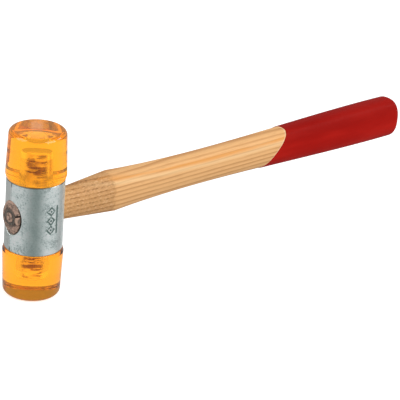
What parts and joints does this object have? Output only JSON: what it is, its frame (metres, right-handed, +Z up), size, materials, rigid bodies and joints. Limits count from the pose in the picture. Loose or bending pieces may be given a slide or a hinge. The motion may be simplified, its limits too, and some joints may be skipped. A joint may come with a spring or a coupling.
{
  "type": "soft face hammer",
  "caption": "Soft-face hammer for fitting metal parts: tubular steel head, screw-in translucent plastic faces and a wedged ash handle with a lacquered grip.",
  "frame": {"origin": "centre of the lower striking face", "axes": "+Z up the head through the upper face, +X along the handle from head to butt"},
  "size_m": [0.3, 0.035, 0.1004],
  "materials": {
    "zinc_plated_steel": "bright zinc plated, lightly mottled",
    "amber_plastic": "translucent amber cellulose acetate, polished",
    "ash_wood": "sanded ash, thin clear wax",
    "wedge_steel": "raw steel, dulled",
    "red_lacquer": "satin dip lacquer"
  },
  "bodies": {
    "hammer": {"head_sleeve": "zinc_plated_steel", "handle": "ash_wood", "ring_wedge": "wedge_steel", "grip_lacquer": "red_lacquer"},
    "upper_face_body": {"upper_face": "amber_plastic"},
    "lower_face_body": {"lower_face": "amber_plastic"}
  },
  "joints": [
    {"name": "upper_face_unscrews", "type": "slide", "parent": "hammer", "child": "upper_face_body", "axis": [0, 0, 1], "range_m": [0, 0.014]},
    {"name": "lower_face_unscrews", "type": "slide", "parent": "hammer", "child": "lower_face_body", "axis": [0, 0, -1], "range_m": [0, 0.014]}
  ]
}
